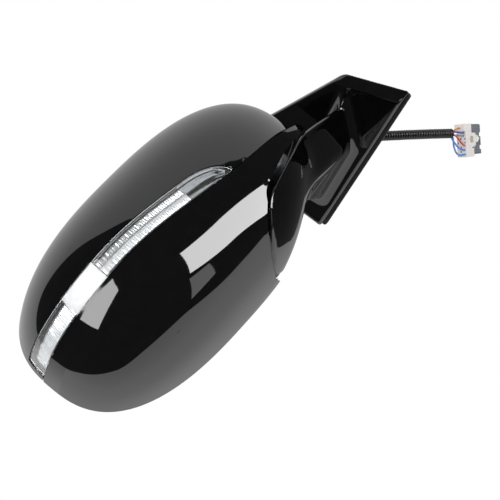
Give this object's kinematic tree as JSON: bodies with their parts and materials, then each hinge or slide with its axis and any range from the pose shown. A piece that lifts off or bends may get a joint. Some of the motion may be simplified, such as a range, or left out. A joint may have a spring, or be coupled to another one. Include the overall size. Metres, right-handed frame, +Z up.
{
  "type": "car side mirror",
  "caption": "Power-folding car door mirror with black covers, a turn-signal lens, adjustable heated glass, a sail bracket with studs and a harness in a ribbed conduit with a plug.",
  "frame": {"origin": "centre of the stud circle on the door face", "axes": "+X along the studs into the door, +Y to the rear of the car, +Z up"},
  "size_m": [0.4471, 0.1908, 0.1948],
  "materials": {
    "gloss_black": "gloss",
    "satin_black": "satin",
    "cast_alloy": "satin",
    "steel": "satin",
    "brass_gear": "satin",
    "seal_rubber": "matte",
    "conduit_black": "satin",
    "clear_lens": "gloss",
    "reflector": "gloss",
    "board_green": "matte",
    "nylon": "satin",
    "grey_nylon": "satin",
    "glass_mirror": "gloss",
    "heater_film": "matte",
    "white_nylon": "satin",
    "lock_grey": "satin",
    "orange_wire": "satin",
    "navy_wire": "satin",
    "grey_wire": "satin",
    "red_wire": "satin",
    "blue_wire": "satin"
  },
  "bodies": {
    "base": {"base_bracket": "cast_alloy", "base_cover": "gloss_black", "sail_gasket": "seal_rubber", "mount_studs": "steel", "cover_screws": "steel", "pivot_shaft": "steel", "detent_ring": "steel", "fold_gear": "brass_gear", "clutch_spring": "steel", "spring_retainer": "steel", "service_cap": "gloss_black", "grommet": "seal_rubber", "arm_harness": "conduit_black", "conduit": "conduit_black", "wire_orange": "orange_wire", "wire_navy": "navy_wire", "wire_grey": "grey_wire", "wire_red": "red_wire", "wire_blue": "blue_wire", "connector_body": "white_nylon", "connector_lock": "lock_grey"},
    "head": {"head_frame": "grey_nylon", "fold_case": "satin_black", "fold_case_lid": "satin_black", "fold_motor": "steel", "upper_cap": "gloss_black", "lower_cover": "gloss_black", "fold_shroud": "satin_black", "rear_housing": "satin_black", "bezel": "satin_black", "lamp_lens": "clear_lens", "lamp_housing": "reflector", "light_guide": "clear_lens", "lamp_board": "board_green", "actuator_case": "satin_black", "actuator_lid": "satin_black", "tilt_motor": "steel", "pan_motor": "steel", "frame_screws": "steel", "head_wiring": "conduit_black"},
    "worm": {"fold_worm": "nylon"},
    "cross": {"pivot_cross": "steel"},
    "glass": {"glass_holder": "satin_black", "heater_pad": "heater_film", "mirror_glass": "glass_mirror"},
    "tilt_jack": {"tilt_plunger": "nylon"},
    "pan_jack": {"pan_plunger": "nylon"}
  },
  "joints": [
    {"name": "head_fold", "type": "hinge", "parent": "base", "child": "head", "pos_m": [-0.1, -0.02, 0], "axis": [0, 0, -1], "range_deg": [-15, 65]},
    {"name": "fold_worm_spin", "type": "hinge", "parent": "head", "child": "worm", "pos_m": [-0.12378, -0.01227, 0.0385], "axis": [0.3066, 0.9437, -0.124], "range_deg": [-520, 2120]},
    {"name": "glass_tilt", "type": "hinge", "parent": "head", "child": "cross", "pos_m": [-0.2201, 0.05372, 0.029], "axis": [0.9511, -0.309, 0], "range_deg": [-8, 8]},
    {"name": "glass_pan", "type": "hinge", "parent": "cross", "child": "glass", "pos_m": [-0.2201, 0.05372, 0.029], "axis": [0, 0, 1], "range_deg": [-8, 8]},
    {"name": "tilt_jack_slide", "type": "slide", "parent": "head", "child": "tilt_jack", "axis": [0.309, 0.9511, 0], "range_m": [-0.0049, 0.0049]},
    {"name": "pan_jack_slide", "type": "slide", "parent": "head", "child": "pan_jack", "axis": [0.309, 0.9511, 0], "range_m": [-0.0049, 0.0049]}
  ],
  "couplings": [
    {"joint": "fold_worm_spin", "follows": "head_fold", "ratio": 32},
    {"joint": "tilt_jack_slide", "follows": "glass_tilt", "m_per_rad": 0.034},
    {"joint": "pan_jack_slide", "follows": "glass_pan", "m_per_rad": 0.034}
  ]
}
